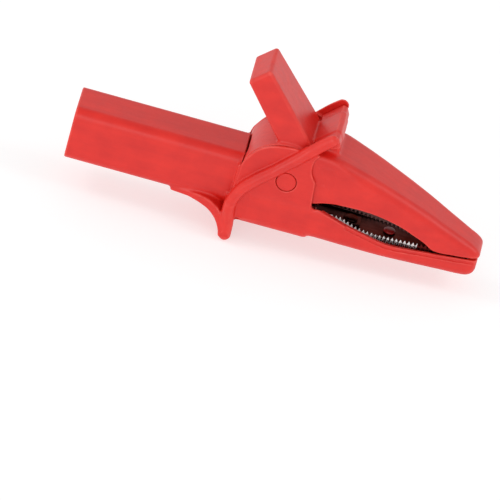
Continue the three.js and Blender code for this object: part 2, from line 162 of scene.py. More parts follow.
# Outlines in the plane of X and Z
CHEEK_TOP = [(-9.2, 2.3), (-7.3, 5.15), (-5.45, 6.55), (-3.43, 7.3), (-1, 7.7), (2.5, 7.8)]
CHEEK_FRONT = [
    (5.3, 7.65), (4.4, 6.35), (4.36, 3.8), (4.9, 2.45), (5.57, 1.5), (5.76, 0.18), (5.85, -1.05),
    (6.05, -3.67),
]
LOWER_EDGE = [
    (6.05, -3.9), (6.7, -4.4), (7.7, -4.25), (9.8, -4.9), (13.6, -6.3), (17.5, -7.4),
    (22.6, -8.55), (30, -8.3), (42, -7.6),
]
UPPER_EDGE = [
    (6.05, -3.67), (9, -2.75), (12, -2.2), (15.4, -2.1), (20, -2.7), (24.3, -3.9), (27.5, -5.3),
    (29.7, -6.35), (31.2, -7.35), (32.6, -7.7), (36, -7.6), (42, -7.2),
]
UPPER_TOP = [
    (3, 7.5), (6, 7.45), (9.2, 7.15), (13, 6), (17, 4.6), (20.5, 3.25), (24.5, 1.65), (29, -0.3),
    (33, -2.2), (37.6, -4.35), (39.3, -5.2), (40.4, -5.95), (40.9, -6.6), (41.05, -7.3),
]
LOWER_BOTTOM = [
    (-8, BELLY_Z - 0.3), (5, BELLY_Z - 0.2), (5.9, BELLY_Z - 0.2), (6.6, BELLY_Z),
    (7.1, BELLY_Z + 0.4), (13.7, BELLY_Z + 0.2), (21.5, BELLY_Z - 0.15), (29, BELLY_Z - 0.15),
    (34, -11.8), (38.2, -11.75), (39.5, -11.45), (40.3, -10.85), (40.7, -10), (40.75, -9.1),
]
LOWER_TEETH = [
    (TEETH_START, -5.9), (12.2, -5.95), (16, -7.4), (19.9, -7.9), (29.5, -7.55),
    (CHANNEL_END, -7.6),
]
UPPER_TEETH = [
    (TEETH_START, -3.7), (16, -4.25), (20, -4.8), (24, -5.35), (28, -6.35), (30.6, -7),
    (CHANNEL_END, -7.05),
]
COLLAR_LINE = [
    (-9.05, -14.6), (-9.15, -12), (-9.6, -7.8), (-8.4, -4), (-5.96, -0.95), (-2.2, 2.75),
    (1.45, 6.4), (5, 10.4), (6.75, 12.0),
]
REST_HALF = [(-21.8, 5.4), (-18, 5.9), (-14, 7.4), (-11, 8.7), (-9, 9.1)]
REST_THICK = [(-21.8, 1), (-16.8, 1.5), (-12.4, 2.4), (-9.4, 4)]
REST_LOW = [
    (-21.8, -9.85), (-16.9, -9.95), (-14.9, -10.25), (-13.2, -10.8), (-11.65, -12), (-10.6, -13.8),
    (-10.1, -15),
]
GUARD_FIN = [(0, 4), (0.9, 6.6), (7.0, 12.65), (7.9, 12.3), (8.5, 10.9), (8.6, 6), (6, 4)]

GRID = 0.22  # spacing of the samples that the moulded shells are drawn from
EDGE_REACH = 0.35  # how far to each side an edge is felt for


# --- Curves -----------------------------------------------------------------------------------

def spline(points, steps=8):
    """Points along a smooth curve through the given ones."""
    p = np.asarray(points, float)
    chord = np.sqrt(np.linalg.norm(np.diff(p, axis=0), axis=1))
    at = np.concatenate([[0], np.cumsum(chord)])
    slope = np.gradient(p, at, axis=0)
    out = []
    for k in range(len(p) - 1):
        h = at[k + 1] - at[k]
        for t in np.arange(steps) / steps:
            a, b = (1 + 2 * t) * (1 - t) ** 2, t * t * (3 - 2 * t)
            c, d = t * (1 - t) ** 2 * h, t * t * (t - 1) * h
            out.append(a * p[k] + b * p[k + 1] + c * slope[k] + d * slope[k + 1])
    out.append(p[-1])
    return np.array(out)


def along(points, x):
    """The value at x of a line through points."""
    p = np.asarray(points, float)
    return np.interp(x, p[:, 0], p[:, 1])


def lower_half(x):
    return 7.4 - 0.0931 * np.maximum(x - 9, 0)


def upper_half(x):
    return 7.4 - 0.107 * np.maximum(x - 9, 0)


def trough_half(x):
    return 6 - 0.0793 * (x - 9)


def channel_half(x):
    return 4.5 - 0.0483 * (x - 9)


def ceiling(drop):
    """The inside of the upper jaw's top wall, or a line some distance below it."""
    inside = [(x, z) for x, z in UPPER_TOP if 9.1 < x < 38]
    return [(x, z - along([(9, 1.8), (38, 1.2)], x) - drop) for x, z in inside]


# --- Moulded shells: distances sampled on a grid, less than nothing inside ----------------------

class Block:
    """A box of samples. It keeps the half of the clip at Y of 0 and up, and mirrors it."""

    def __init__(self, low, high):
        axes = [np.arange(a, b + GRID, GRID, dtype=np.float32) for a, b in zip(low, high)]
        self.start = np.array([low[0], -axes[1][-1], low[2]])
        self.x = axes[0][:, None, None]
        self.y = axes[1][None, :, None]
        self.z = axes[2][None, None, :]

    def outline(self, points):
        """Distance to a closed outline in X and Z."""
        x, z = self.x, self.z
        best = np.full((x.size, 1, z.size), 1e9, np.float32)
        inside = np.zeros(best.shape, bool)
        p = [tuple(q) for q in points]
        for (ax, az), (bx, bz) in zip(p, p[1:] + p[:1]):
            ex, ez = bx - ax, bz - az
            t = ((x - ax) * ex + (z - az) * ez) / max(ex * ex + ez * ez, 1e-12)
            t = np.clip(t, 0, 1)
            best = np.minimum(best, (x - ax - t * ex) ** 2 + (z - az - t * ez) ** 2)
            if az != bz:
                inside ^= ((az > z) != (bz > z)) & (x < ax + (z - az) * ex / ez)
        return np.where(inside, -1, 1) * np.sqrt(best)

    def line(self, points):
        """Distance to an open line in X and Z."""
        x, z = self.x, self.z
        best = np.full((x.size, 1, z.size), 1e9, np.float32)
        for (ax, az), (bx, bz) in zip(points[:-1], points[1:]):
            ex, ez = bx - ax, bz - az
            t = np.clip(((x - ax) * ex + (z - az) * ez) / (ex * ex + ez * ez), 0, 1)
            best = np.minimum(best, (x - ax - t * ex) ** 2 + (z - az - t * ez) ** 2)
        return np.sqrt(best)


def meet(a, b, r=0.0):
    """What lies in both, with the edge between them rounded to radius r."""
    if np.ndim(r) == 0 and r == 0:
        return np.maximum(a, b)
    return np.minimum(np.maximum(a, b), -r) + np.hypot(np.maximum(a + r, 0), np.maximum(b + r, 0))


def join(a, b, r=0.0):
    """What lies in either, with a fillet of radius r where they meet."""
    return -meet(-a, -b, r)


def cut(a, b, r=0.0):
    """What lies in a and not in b."""
    return meet(a, -b, r)


def between(value, low, high):
    return np.maximum(low - value, value - high)


def shell_mesh(name, block, field):
    """A mesh over the zero level: one vertex to a crossed cell, drawn onto the surface."""
    field = np.broadcast_to(field, (block.x.size, block.y.size, block.z.size))
    field = np.concatenate([field[:, :0:-1], field], axis=1).astype(np.float32)
    inside = field < 0
    size = np.array(field.shape) - 1
    corners = list(itertools.product((0, 1), repeat=3))

    def shifted(values, corner):
        return values[tuple(slice(c, c + n) for c, n in zip(corner, size))]

    count = sum(shifted(inside, c).astype(np.uint8) for c in corners)
    active = (count > 0) & (count < 8)
    number = np.full(active.shape, -1, np.int32)
    number[active] = np.arange(active.sum())
    base = np.argwhere(active)

    def value(index):
        return field[index[:, 0], index[:, 1], index[:, 2]]

    total, hits = np.zeros((len(base), 3)), np.zeros(len(base))
    for a, b in itertools.combinations(corners, 2):
        if sum(abs(p - q) for p, q in zip(a, b)) != 1:
            continue
        fa, fb = value(base + a), value(base + b)
        cross = (fa < 0) != (fb < 0)
        t = np.where(cross, fa / np.where(cross, fa - fb, 1), 0)[:, None]
        total += np.where(cross[:, None], np.array(a) + t * (np.array(b) - a), 0)
        hits += cross
    points = base + total / hits[:, None]

    def sample(at):
        """The field and its slope at points between samples."""
        low = np.clip(np.floor(at).astype(int), 0, size - 1)
        f = at - low
        level, slope = np.zeros(len(at)), np.zeros(at.shape)
        for c in corners:
            w = [np.where(c[k], f[:, k], 1 - f[:, k]) for k in range(3)]
            v = value(low + c)
            level += v * w[0] * w[1] * w[2]
            for k in range(3):
                u, n = [w[m] for m in range(3) if m != k]
                slope[:, k] += v * (1 if c[k] else -1) * u * n
        return level, slope

    home = points.copy()
    for _ in range(3):
        level, slope = sample(points)
        step = level[:, None] * slope / np.maximum((slope ** 2).sum(1), 1e-6)[:, None]
        points -= step * 0.9
        points = np.clip(points, home - 0.45, home + 0.45)
    _, slope = sample(points)

    quads = []
    for axis in range(3):
        u, v = (axis + 1) % 3, (axis + 2) % 3
        low = [slice(None)] * 3
        high = [slice(None)] * 3
        low[axis], high[axis] = slice(None, -1), slice(1, None)
        low[u] = high[u] = slice(1, -1)
        low[v] = high[v] = slice(1, -1)
        a, b = inside[tuple(low)], inside[tuple(high)]
        at = np.argwhere(a != b)
        outward = a[at[:, 0], at[:, 1], at[:, 2]]
        ring = []
        for du, dv in ((0, 0), (1, 0), (1, 1), (0, 1)):
            cell = at.copy()
            cell[:, u] += du
            cell[:, v] += dv
            ring.append(number[cell[:, 0], cell[:, 1], cell[:, 2]])
        ring = np.stack(ring, 1)
        ring[~outward] = ring[~outward][:, ::-1]
        quads.append(ring)
    quads = np.concatenate(quads)
    mesh = mesh_of(name, block.start + points * GRID, quads)
    slope /= np.maximum(np.linalg.norm(slope, axis=1), 1e-9)[:, None]
    mesh.normals_split_custom_set_from_vertices(slope.tolist())

    # How fast the surface falls away to each side: nothing on a flat, most on an outer edge
    right = np.cross(slope, (0.36, 0.48, 0.8))
    right /= np.maximum(np.linalg.norm(right, axis=1), 1e-9)[:, None]
    up = np.cross(slope, right)
    apart = EDGE_REACH / GRID
    fall = sum(sample(points + apart * way)[0] for way in (right, -right, up, -up))
    edge = mesh.attributes.new("edge", "FLOAT", "POINT")
    edge.data.foreach_set("value", (fall / (4 * EDGE_REACH)).astype(np.float32))
    return mesh


# --- Meshes -----------------------------------------------------------------------------------

def mesh_of(name, points, quads):
    """A smooth-shaded mesh in the frame from millimetre points and four-cornered faces."""
    points = np.asarray(points, float) * MM + np.array(PIVOT)
    quads = np.asarray(quads, np.int32)
    mesh = bpy.data.meshes.new(name)
    mesh.vertices.add(len(points))
    mesh.vertices.foreach_set("co", points.astype(np.float32).ravel())
    mesh.loops.add(quads.size)
    mesh.loops.foreach_set("vertex_index", quads.ravel())
    mesh.polygons.add(len(quads))
    mesh.polygons.foreach_set("loop_start", np.arange(0, quads.size, 4, dtype=np.int32))
    mesh.update(calc_edges=True)
    mesh.validate()
    mesh.polygons.foreach_set("use_smooth", np.ones(len(mesh.polygons), bool))
    return mesh


def faceted_mesh(name, points, faces, crease=30):
    """A mesh in the frame from millimetre points, smooth up to an edge angle in degrees."""
    mesh = bpy.data.meshes.new(name)
    place = np.asarray(points, float) * MM + np.array(PIVOT)
    mesh.from_pydata(place.tolist(), [], [tuple(int(i) for i in f) for f in faces])
    mesh.validate()
    mesh.polygons.foreach_set("use_smooth", np.ones(len(mesh.polygons), bool))
    mesh.set_sharp_from_angle(angle=math.radians(crease))
    return mesh


def loft(rows):
    """Points and faces through rows of loops, capped at both ends."""
    rows = [np.asarray(r, float) for r in rows]
    n, m = len(rows[0]), len(rows)
    faces = []
    for a in range(0, (m - 1) * n, n):
        b = a + n
        faces += [(a + j, a + (j + 1) % n, b + (j + 1) % n, b + j) for j in range(n)]
    faces.append(tuple(range(n))[::-1])
    faces.append(tuple(range((m - 1) * n, m * n)))
    return np.concatenate(rows), faces


def turned(profile, origin=(0, 0, 0), axis="Y", lean=0.0, sides=72):
    """Points and faces of a solid turned about an axis; its profile is (radius, distance)."""
    basis = {
        "X": ((0, 1, 0), (0, 0, 1), (1, 0, 0)),
        "Y": ((0, 0, 1), (1, 0, 0), (0, 1, 0)),
        "Z": ((1, 0, 0), (0, 1, 0), (0, 0, 1)),
    }[axis]
    u, v, w = (np.array(b, float) for b in basis)
    if lean:
        turn = np.array(Matrix.Rotation(lean, 3, "Y"))
        u, v, w = turn @ u, turn @ v, turn @ w
    origin = np.array(origin, float)
    points, rings = [], []
    for r, h in profile:
        if r < 1e-6:
            rings.append([len(points)])
            points.append(origin + h * w)
            continue
        rings.append(list(range(len(points), len(points) + sides)))
        for k in range(sides):
            a = 2 * math.pi * k / sides
            points.append(origin + r * (math.cos(a) * u + math.sin(a) * v) + h * w)
    faces = []
    for a, b in zip(rings, rings[1:]):
        for k in range(sides):
            j = (k + 1) % sides
            if len(a) == 1 and len(b) == 1:
                break
            if len(a) == 1:
                faces.append((a[0], b[j], b[k]))
            elif len(b) == 1:
                faces.append((a[k], a[j], b[0]))
            else:
                faces.append((a[k], a[j], b[j], b[k]))
    return np.array(points), faces


def softened(profile, r):
    """A turned profile with its outer corners eased by r."""
    p = np.asarray(profile, float)
    out = [p[0]]
    for before, at, after in zip(p, p[1:], p[2:]):
        into, away = at - before, after - at
        a, b = np.linalg.norm(into), np.linalg.norm(away)
        e = min(r, a / 2.2, b / 2.2)
        start, end = at - into / a * e, at + away / b * e
        for t in (0, 0.25, 0.5, 0.75, 1):
            out.append((1 - t) ** 2 * start + 2 * t * (1 - t) * at + t * t * end)
    out.append(p[-1])
    return [tuple(q) for q in out]


def swept(points, radius, sides=14):
    """Points and faces of a round wire along points, its ends domed."""
    p = np.asarray(points, float)
    way = np.gradient(p, axis=0)
    way /= np.linalg.norm(way, axis=1)[:, None]
    normal = np.cross(way[0], (0, 1, 0))
    normal /= np.linalg.norm(normal)
    rows = []
    dome = [(-0.95, 0.3), (-0.7, 0.72), (-0.35, 0.94)]
    for k in range(len(p)):
        normal -= way[k] * normal.dot(way[k])
        normal /= np.linalg.norm(normal)
        side = np.cross(way[k], normal)
        shifts = [(0, 1)]
        if k == 0:
            shifts = dome + shifts
        if k == len(p) - 1:
            shifts = shifts + [(-s, w) for s, w in reversed(dome)]
        for shift, width in shifts:
            ring = []
            for j in range(sides):
                a = 2 * math.pi * j / sides
                out = math.cos(a) * normal + math.sin(a) * side
                ring.append(p[k] + radius * (shift * way[k] + width * out))
            rows.append(ring)
    return loft(rows)


def piece(mesh, body, nodes, material):
    """Puts a mesh in the scene in place of CAD nodes."""
    made = bpy.data.objects.new(mesh.name, mesh)
    bpy.context.scene.collection.objects.link(made)
    made.data.materials.append(material)
    if body:
        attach(made, body)
    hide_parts(*nodes)
    return made


# --- Materials ----------------------------------------------------------------------------------

class Shading:
    """A node material round one Principled shader."""

    def __init__(self, name, **plain):
        self.material = bpy.data.materials.new(name)
        self.material.use_nodes = True
        self.tree = self.material.node_tree
        self.shader = next(n for n in self.tree.nodes if n.type == "BSDF_PRINCIPLED")
        for socket, value in plain.items():
            self.shader.inputs[socket.replace("_", " ")].default_value = value
        self.place = self.tree.nodes.new("ShaderNodeTexCoord").outputs["Object"]

    def node(self, kind, inputs=(), **settings):
        made = self.tree.nodes.new("ShaderNode" + kind)
        for key, value in settings.items():
            setattr(made, key, value)
        for key, value in dict(inputs).items():
            if isinstance(value, bpy.types.NodeSocket):
                self.tree.links.new(value, made.inputs[key])
            else:
                made.inputs[key].default_value = value
        return made

    def stretched(self, scale, turn=(0, 0, 0)):
        """The piece's own coordinates in metres, scaled along each axis."""
        inputs = {"Vector": self.place, "Scale": scale, "Rotation": turn}
        return self.node("Mapping", inputs).outputs["Vector"]

    def noise(self, scale, detail=3.0, roughness=0.55, vector=None):
        inputs = {"Scale": scale, "Detail": detail, "Roughness": roughness}
        inputs["Vector"] = vector or self.place
        return self.node("TexNoise", inputs).outputs["Fac"]

    def ramp(self, value, *stops):
        """value taken through (place, number or colour) stops."""
        made = self.node("ValToRGB", {"Fac": value})
        bar = made.color_ramp.elements
        while len(bar) < len(stops):
            bar.new(0.5)
        for element, (at, colour) in zip(bar, stops):
            grey = (colour,) * 3 if np.ndim(colour) == 0 else tuple(colour)
            element.position, element.color = at, (*grey, 1)
        return made.outputs["Color"]

    def mix(self, amount, a, b, blend="MIX"):
        made = self.node("Mix", data_type="RGBA", blend_type=blend)
        for socket, value in ((0, amount), (6, a), (7, b)):
            if isinstance(value, bpy.types.NodeSocket):
                self.tree.links.new(value, made.inputs[socket])
            elif socket and len(value) == 3:
                made.inputs[socket].default_value = (*value, 1)
            else:
                made.inputs[socket].default_value = value
        return made.outputs[2]

    def sum(self, kind, a, b):
        return self.node("Math", {0: a, 1: b}, operation=kind).outputs[0]

    def bump(self, *layers):
        """Lays heights over each other: (height, strength, depth in metres)."""
        normal = None
        for height, strength, depth in layers:
            inputs = {"Height": height, "Strength": strength, "Distance": depth}
            if normal:
                inputs["Normal"] = normal
            normal = self.node("Bump", inputs).outputs["Normal"]
        self.feed("Normal", normal)

    def feed(self, socket, value):
        self.tree.links.new(value, self.shader.inputs[socket])

    def worn(self, low, high):
        """From 0 to 1 on outer edges."""
        point = self.node("NewGeometry").outputs["Pointiness"]
        return self.ramp(point, (low, 0.0), (high, 1.0))

    def rounded(self, low, high):
        """From 0 to 1 on the outer edges of a moulded shell."""
        edge = self.node("Attribute", attribute_name="edge").outputs["Fac"]
        return self.ramp(edge, (low, 0.0), (high, 1.0))


def plastic(name, colour, deep, pale, roughness):
    """Satin moulded plastic: eroded grain, flow marks, hairline scratches, and outer edges paler
    in patches as wear and as painted highlight.
    """
    s = Shading(name, IOR=1.47)
    cloud = s.noise(190, 4, 0.6)
    flow = s.noise(1.0, 3, 0.5, s.stretched((90, 700, 520), (0, 0.25, 0)))
    grain = s.noise(5200, 2, 0.6)
    pits = s.noise(1700, 4, 0.65)
    tone = s.ramp(s.mix(0.4, cloud, flow), (0.36, deep), (0.64, colour))
    speck = s.ramp(pits, (0.6, 0.0), (0.78, 0.22))
    tone = s.mix(speck, tone, deep)
    # Outer edges turn pale in patches: partly wear, partly painted edge highlight
    patchy = s.ramp(s.noise(420, 4), (0.35, 0.25), (0.7, 0.8))
    rubbed_and_highlit = s.sum("MULTIPLY", s.rounded(0.05, 0.3), patchy)
    s.feed("Base Color", s.mix(rubbed_and_highlit, tone, pale))
    scratch = s.node(
        "TexVoronoi", {"Vector": s.stretched((150, 260, 900), (0.2, 0.35, 0.5)), "Scale": 1.0},
        feature="DISTANCE_TO_EDGE",
    ).outputs["Distance"]
    hairs = s.ramp(scratch, (0.0, 1.0), (0.012, 0.0))
    hairs = s.sum("MULTIPLY", hairs, s.ramp(s.noise(95, 2), (0.55, 0.0), (0.66, 0.7)))
    gloss = s.ramp(s.mix(0.5, pits, cloud), (0.3, roughness - 0.07), (0.7, roughness + 0.07))
    s.feed("Roughness", s.mix(hairs, gloss, (roughness + 0.2,) * 3))
    s.bump((grain, 0.35, 1.2e-5), (pits, 0.3, 3e-5), (hairs, -0.25, 2e-5), (flow, 0.12, 5e-5))
    return s.material


def metal(name, colour, dark, roughness, brushed=(60, 2600, 2600), shade=0.6, metallic=1.0,
          painted_glow=0.0):
    """Plated sheet or wire: drawn lines, dull patches and bright worn edges; painted_glow sets an
    even emission, painted light.
    """
    tint = (*[min(1, c * 12) for c in colour], 1)
    s = Shading(
        name, Metallic=metallic, Specular_Tint=tint, Emission_Color=(1, 1, 1, 1),
        Emission_Strength=painted_glow,
    )
    lines = s.noise(1.0, 4, 0.6, s.stretched(brushed))
    patch = s.noise(260, 5, 0.6)
    dull = s.ramp(patch, (shade - 0.12, 0.0), (shade + 0.1, 0.75))
    tone = s.mix(dull, colour, dark)
    tone = s.mix(s.ramp(lines, (0.35, 0.0), (0.75, 0.3)), tone, dark)
    s.feed("Base Color", s.mix(s.worn(0.53, 0.62), tone, [min(1, c * 1.2) for c in colour]))
    gloss = s.ramp(s.mix(0.5, patch, lines), (0.3, roughness - 0.08), (0.7, roughness + 0.1))
    s.feed("Roughness", gloss)
    s.bump((lines, 0.22, 1.5e-5), (s.noise(3800, 2), 0.15, 1e-5))
    return s.material


# The red's pale edge colour is partly wear and partly painted edge highlight
RED = plastic("red_plastic", (0.72, 0.019, 0.011), (0.61, 0.012, 0.008), (0.88, 0.11, 0.085), 0.4)
BLACK = plastic(
    "black_plastic", (0.02, 0.02, 0.021), (0.01, 0.01, 0.011), (0.07, 0.07, 0.07), 0.45,
)
WHITE = plastic("white_plastic", (0.72, 0.7, 0.64), (0.6, 0.57, 0.5), (0.8, 0.79, 0.74), 0.4)
# Lit copy of the jaw steel for the outer sides of the lower teeth: near white, with an emission
# that paints light on them
PAINTED_LIT_NICKEL = metal("jaw_steel", (0.95, 0.94, 0.92), (0.8, 0.79, 0.77), 0.42, metallic=0.25, painted_glow=0.13)
# Shaded copy of the jaw steel: painted shade for the channels inside the mouth, the tongue and its
# rivet
PAINTED_SHADE_STEEL = metal("jaw_steel_painted_shade", (0.07, 0.034, 0.032), (0.026, 0.013, 0.012), 0.36)
# Steel for the lower channel's outer wall below the teeth: painted shade, tinted red as a painted
# reflection of the red lip
PAINTED_SHADE_RED_WALL = metal("jaw_steel_wall_painted_shade", (0.2, 0.022, 0.02), (0.1, 0.012, 0.011), 0.4, metallic=0.3)
# Darker copy of the red plastic for the pegs: painted shade
PAINTED_SHADE_RED = plastic(
    "red_plastic_peg_painted_shade", (0.36, 0.012, 0.012), (0.28, 0.01, 0.009), (0.5, 0.06, 0.05), 0.42,
)
WIRE = metal("spring_steel", (0.5, 0.5, 0.5), (0.2, 0.19, 0.18), 0.3, (2600, 60, 2600))
PIN = metal("pin_steel", (0.66, 0.66, 0.66), (0.35, 0.34, 0.33), 0.25, (2600, 60, 2600))
BRASS = metal("contact_brass", (0.75, 0.6, 0.33), (0.42, 0.3, 0.14), 0.3)


# --- The two moulded shells ---------------------------------------------------------------------

def fixed_shell():
    g = Block((BARREL_REAR - 1, 0, FLANGE_TIP_Z - 0.8), (41.2, COLLAR_HALF + 0.7, 14))
    x, y, z = g.x, g.y, g.z
    tall = between(z, BARREL_AXIS_Z - BARREL_HALF, BARREL_TOP)
    barrel = meet(meet(y - BARREL_HALF, tall, BARREL_CORNER), between(x, BARREL_REAR, -4), 0.3)

    bottom = spline(LOWER_BOTTOM, 4)
    side = g.outline([*bottom, (LOWER_BOTTOM[-1][0], -3), (LOWER_BOTTOM[0][0], -3)])
    corner = along([(7, 2.3), (38, 1.8), (40.7, 1.4)], x)
    belly = meet(side, y - lower_half(x), corner)
    body = join(barrel, belly, 0.8)

    cheek_line = [
        (CHEEK_REAR, BELLY_Z + 0.6), (CHEEK_REAR, -3), (CHEEK_REAR + 0.1, 1.2),
        *spline(CHEEK_TOP, 5), *spline(CHEEK_FRONT, 5),
        (CHEEK_FRONT[-1][0], -8), (0, BELLY_Z + 2),
    ]
    cheek = meet(g.outline(cheek_line), y - CHEEK_HALF, 0.22)
    back_wall = meet(between(x, -9.95, -8), between(z, BELLY_Z + 1, 0.8), 0.2)
    cheek = np.minimum(cheek, meet(back_wall, y - BACK_WALL_HALF, 0.2))
    body = join(body, cheek, 0.35)

    rest_line = spline(REST_LOW, 5)
    thick = along(REST_THICK, rest_line[:, 0])
    over = np.stack([rest_line[:, 0], rest_line[:, 1] + thick], 1)
    sheet = meet(g.outline([*rest_line, *over[::-1]]), y - along(REST_HALF, x), 0.4)
    web = g.outline([*(rest_line + (0, 0.3)), (-9, -8), (REST_LOW[0][0], -8)])
    body = join(join(body, meet(web, y - REST_WEB_HALF), 0.6), sheet, 0.6)

    edge = spline(LOWER_EDGE, 5)
    over_mouth = [(42, 20), (9, 20), (9, 5), (MOUTH_REAR, 5), (MOUTH_REAR, -3.67)]
    body = cut(body, g.outline([*edge, *over_mouth]), 0.18)
    lip = edge[20:] - (0, LIP_DROP)
    above = g.outline([*lip, (42, 0), (lip[0][0], 0)])
    body = cut(body, meet(above, lower_half(x) - LIP_INSET - y), 0.08)

    line = spline(COLLAR_LINE, 6)
    reach = along([(-3, COLLAR_HALF), (3, EAR_HALF)], x)
    thick = along([(-3, ROPE_R), (5, ROPE_R + 0.2)], x)
    rope = np.hypot(g.line(line), y - reach + thick) - thick
    hub = np.hypot(x, z) - EAR_START_R
    ears = meet(rope, EAR_INNER - y, 0.2)
    collar = np.minimum(ears, meet(meet(rope, CHEEK_INNER + 0.2 - y), hub))
    blade = g.line(line[:14]) - (FLANGE_FRONT - FLANGE_REAR) / 2
    flange = meet(np.maximum(blade, z + 7), y - COLLAR_HALF, 0.9)
    flange = np.maximum(flange, meet(y - COLLAR_HALF, FLANGE_TIP_Z - z, FLANGE_CORNER))
    body = join(join(body, flange, 0.7), collar, 0.35)

    room = meet(np.hypot(x, z) - HUB_ROOM_R, y - CHEEK_INNER)
    body = cut(body, meet(room, HUB_FLOOR_Z - z), 0.1)
    floor = meet(FLOOR_Z - z, between(x, TROUGH_START, TROUGH_END), 0.6)
    trough = meet(floor, y - trough_half(x), 0.5)
    body = cut(body, trough, 0.15)
    slot = meet(between(x, SLOT_START, SLOT_END), between(z, FLOOR_Z, SLOT_TOP))
    body = cut(body, meet(slot, y - TONGUE_HALF - JAW_GAP), 0.1)
    radius = np.hypot(y, z - BARREL_AXIS_Z)
    bore = meet(radius - BORE_R, x - BORE_END)
    body = cut(body, bore, 0.35)
    body = cut(body, np.hypot(x, z) - CAP_HOLE_R, 0.12)
    peg_hole = meet(np.hypot(x - PEG_X, y) - PEG_HOLE_R, FLOOR_Z - 1 - z)
    return shell_mesh("lower_body", g, cut(body, peg_hole))


def moving_shell():
    g = Block((-14.2, 0, -9.2), (41.8, 8.0, 23.2))
    x, y, z = g.x, g.y, g.z
    top = spline(UPPER_TOP, 4)
    side = g.outline([(3, -12), *top, (UPPER_TOP[-1][0], -12)])
    corner = along([(9, 2.6), (38, 2.1), (40.9, 1.5)], x)
    jaw = meet(side, y - upper_half(x), corner)
    radius = np.hypot(x, z)
    past = radius - ROOT_R - 0.4
    flare = HUB_HALF + 0.08 * (past + np.hypot(past, 1.0))
    jaw = meet(jaw, y - flare, 0.5)

    fin_side = meet(g.outline(GUARD_FIN) + FIN_CORNER, np.float32(-9), 0) - FIN_CORNER
    fin = meet(fin_side, y - GUARD_STEM, 0.5)
    wing_room = np.maximum(ROOT_R - radius, 0.94 * (7.5 + 0.33 * x - z))
    wings = meet(meet(fin_side, wing_room, 0.3), y - GUARD_HALF, 0.5)

    crown_x, crown_z, crown_r = HUB_CROWN
    crown = meet(np.hypot(x - crown_x, z - crown_z) - crown_r, radius - HUB_R)
    crown = meet(meet(meet(crown, 1 - z, 0.2), HUB_REAR - x, 0.3), y - HUB_HALF, 0.25)
    neck = g.outline([(0, -4), (6.6, -3.4), (9, -2), (9, 5), (0, 5)])
    neck = meet(neck, y - HUB_HALF, 0.2)
    boss = meet(radius - HUB_BOSS_R, y - HUB_HALF, 0.2)
    (rx, rz), (ex, ez) = LEVER_ROOT, LEVER_END
    length = math.hypot(ex - rx, ez - rz)
    ux, uz = (ex - rx) / length, (ez - rz) / length
    s = (x - rx) * ux + (z - rz) * uz
    t = (z - rz) * ux - (x - rx) * uz
    half = np.interp(s, (0, length), (LEVER_HALF, LEVER_END_HALF))
    thick = np.interp(s, (0, length), LEVER_THICK)
    blade = meet(np.abs(t) - thick, y - half, 0.65)
    blade = meet(blade, between(s + 0.06 * t, -6, length), 0.7)
    fin = join(fin, blade, 0.7)
    body = join(jaw, join(fin, wings, 0.5), 0.7)
    body = join(join(body, crown, 0.6), np.minimum(neck, boss), 0.3)

    below = g.outline([*spline(UPPER_EDGE, 5), (42, -14), (2.9, -14), (2.9, -3.9)])
    body = cut(body, below, 0.3)
    mouth_end = [(HOLLOW_END, -6.3), (HOLLOW_END, -14)]
    hollow = g.outline([(HOLLOW_START, 4.9), *ceiling(0), *mouth_end, (HOLLOW_START, -14)])
    trough = meet(hollow, y - channel_half(x) - 0.4, 0.3)
    body = cut(body, trough, 0.15)
    open_rear = g.outline([(0, 0), (-12, 3.4), (-12, -12), (3, -12)])
    spring_room = meet(np.minimum(radius - SPRING_ROOM_R, open_rear), y - SPRING_ROOM_HALF, 0.2)
    body = cut(body, spring_room, 0.3)
    return shell_mesh("upper_jaw", g, cut(body, radius - PIN_R - PIN_RUN, 0.1))


piece(fixed_shell(), "body", ["fixed_shell"], RED)
piece(moving_shell(), "lever", ["moving_shell"], RED)


# --- Metal jaws ---------------------------------------------------------------------------------

TOOTH_SHAPE = [(0, 0), (0.12, 0.04), (0.42, 0.93), (0.5, 1), (0.58, 0.93), (0.88, 0.04)]


def tooth_stations(crest, up):
    """Stations and heights along a saw-toothed edge, from the rear to the nose."""
    count = int((CHANNEL_END - TEETH_START) / TOOTH_PITCH)
    out = []
    for k in range(count):
        for part, rise in TOOTH_SHAPE:
            x = TEETH_START + (k + part) * TOOTH_PITCH
            out.append((x, float(along(crest, x)) - up * TOOTH_HEIGHT * (1 - rise)))
    x = TEETH_START + count * TOOTH_PITCH
    out.append((x, float(along(crest, x)) - up * TOOTH_HEIGHT))
    return out


def channel_section(half, web, edge, up):
    """A folded sheet in Y and Z: two walls on a web, its bends rounded."""
    bend, ease = 0.9, 0.07
    root = edge - up * (TOOTH_HEIGHT + 0.2)
    right = []
    for a in range(0, 91, 18):
        c, s = math.cos(math.radians(a)), math.sin(math.radians(a))
        right.append((half - bend + bend * s, web + up * (bend - bend * c)))
    right += [(half, root), (half, edge - up * ease), (half - ease, edge)]
    right += [(half - SHEET + ease, edge), (half - SHEET, edge - up * ease)]
    inner = bend - SHEET
    for a in range(90, -1, -18):
        c, s = math.cos(math.radians(a)), math.sin(math.radians(a))
        at = half - SHEET - inner + inner * s, web + up * (WEB + inner - inner * c)
        right.append(at)
    left = [(-y, z) for y, z in reversed(right)]
    loop = right + left
    return loop if up > 0 else loop[::-1]


def channel(name, stations, web_line, up):
    """A toothed sheet channel through (x, edge height) stations."""
    rows = []
    for x, edge in stations:
        web = float(along(web_line, x))
        section = channel_section(float(channel_half(x)), web, edge, up)
        rows.append([(x, y, z) for y, z in section])
    points, faces = loft(rows)
    return faceted_mesh(name, points, faces, 28)


